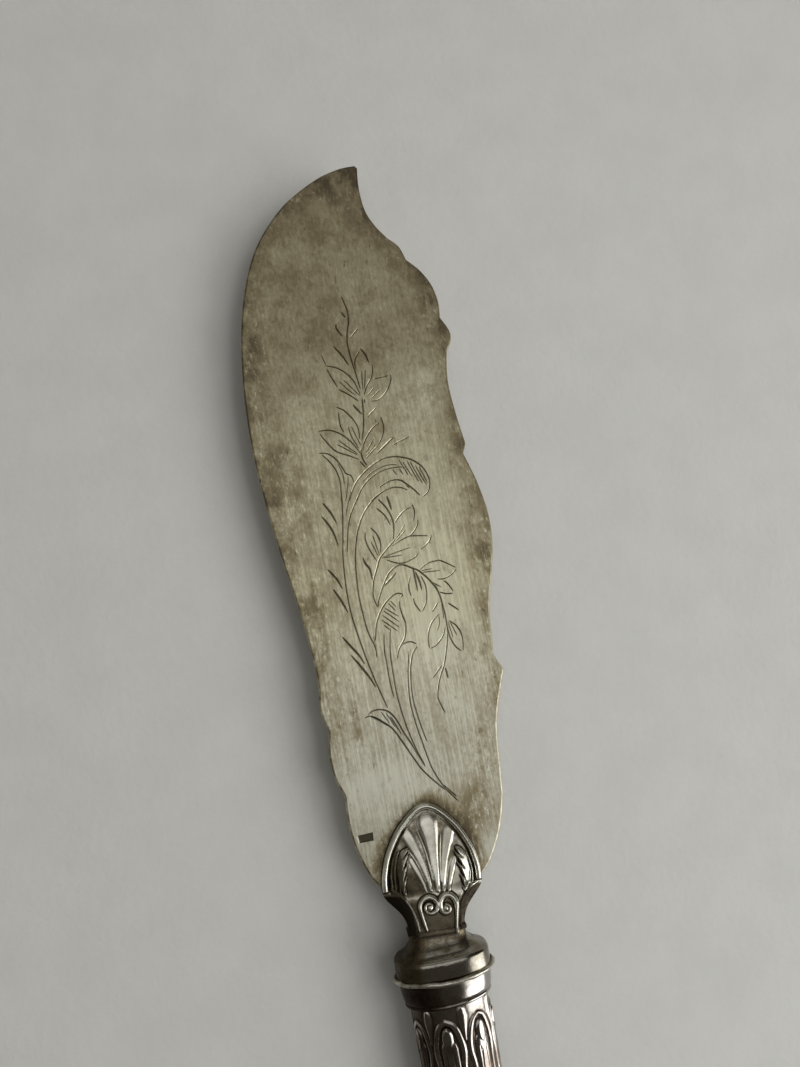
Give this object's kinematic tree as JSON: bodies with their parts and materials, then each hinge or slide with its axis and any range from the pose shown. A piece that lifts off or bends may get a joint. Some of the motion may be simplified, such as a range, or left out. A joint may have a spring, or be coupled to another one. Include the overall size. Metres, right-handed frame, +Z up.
{
  "type": "serving knife",
  "caption": "Old silver-plated fish or cake serving knife with a broad scalloped and engraved blade, a cast shell bolster and a filled, stamped handle.",
  "frame": {"origin": "middle of the knife's outer box, at the level of the surface that it lies on", "axes": "+Y along the handle's axis from the butt to the tip, +Z up out of the blade's engraved front face, +X towards the scalloped back of the blade"},
  "size_m": [0.0508, 0.2896, 0.0146],
  "materials": {
    "blade_silver": "worn silver plate with a warm tarnish",
    "cast_silver": "polished silver plate, dark in the recesses",
    "handle_silver": "polished silver plate, dark in the recesses",
    "steel": "forged",
    "pitch": "pitch cement"
  },
  "bodies": {
    "root": {"blade": "blade_silver", "shell_bolster": "cast_silver", "bolster_foot": "cast_silver", "tang": "steel", "lip_ring": "cast_silver", "ferrule": "handle_silver", "handle_front": "handle_silver", "handle_back": "handle_silver", "handle_filling": "pitch", "butt_cap": "handle_silver"}
  },
  "joints": []
}
